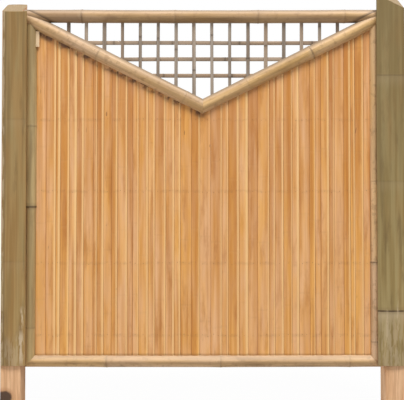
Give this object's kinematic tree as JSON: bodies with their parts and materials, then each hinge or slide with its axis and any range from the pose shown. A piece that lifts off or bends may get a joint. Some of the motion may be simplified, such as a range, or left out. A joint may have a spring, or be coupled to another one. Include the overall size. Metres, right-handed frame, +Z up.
{
  "type": "bamboo fence panel",
  "caption": "Fence panel of upright split bamboo slats below a V-shaped open lattice, framed in round bamboo poles and held between two timber posts clad with split bamboo planks.",
  "frame": {"origin": "on the ground, at the middle of the part's outline seen from above, level with the feet of both posts", "axes": "+X along the fence to the right seen from its front, +Y through its depth from front to back, +Z up"},
  "size_m": [2.024, 0.131, 2.1335],
  "materials": {
    "post_timber": "sawn pale timber",
    "post_bamboo": "weathered olive-brown bamboo",
    "frame_bamboo": "dried tan bamboo with a slight sheen",
    "slat_bamboo": "split honey-coloured bamboo",
    "lattice_bamboo": "split grey-brown bamboo",
    "batten": "sawn lath"
  },
  "bodies": {
    "root": {"bottom_rail": "frame_bamboo", "brace_left": "frame_bamboo", "brace_right": "frame_bamboo", "cover_left_back": "post_bamboo", "cover_left_front": "post_bamboo", "cover_right_back": "post_bamboo", "cover_right_front": "post_bamboo", "cross_batten_1": "batten", "cross_batten_2": "batten", "cross_batten_3": "batten", "cross_batten_4": "batten", "lattice_bars": "lattice_bamboo", "lattice_rails": "lattice_bamboo", "post_left": "post_timber", "post_right": "post_timber", "slat_01": "slat_bamboo", "slat_02": "slat_bamboo", "slat_03": "slat_bamboo", "slat_04": "slat_bamboo", "slat_05": "slat_bamboo", "slat_06": "slat_bamboo", "slat_07": "slat_bamboo", "slat_08": "slat_bamboo", "slat_09": "slat_bamboo", "slat_10": "slat_bamboo", "slat_11": "slat_bamboo", "slat_12": "slat_bamboo", "slat_13": "slat_bamboo", "slat_14": "slat_bamboo", "slat_15": "slat_bamboo", "slat_16": "slat_bamboo", "slat_17": "slat_bamboo", "slat_18": "slat_bamboo", "slat_19": "slat_bamboo", "slat_20": "slat_bamboo", "slat_21": "slat_bamboo", "slat_22": "slat_bamboo", "slat_23": "slat_bamboo", "slat_24": "slat_bamboo", "slat_25": "slat_bamboo", "slat_26": "slat_bamboo", "slat_27": "slat_bamboo", "slat_28": "slat_bamboo", "slat_29": "slat_bamboo", "slat_30": "slat_bamboo", "slat_31": "slat_bamboo", "slat_32": "slat_bamboo", "slat_33": "slat_bamboo", "slat_34": "slat_bamboo", "slat_35": "slat_bamboo", "slat_36": "slat_bamboo", "slat_37": "slat_bamboo", "slat_38": "slat_bamboo", "slat_39": "slat_bamboo", "slat_40": "slat_bamboo", "slat_41": "slat_bamboo", "slat_42": "slat_bamboo", "stile_left": "frame_bamboo", "stile_right": "frame_bamboo", "top_rail": "frame_bamboo"}
  },
  "joints": []
}
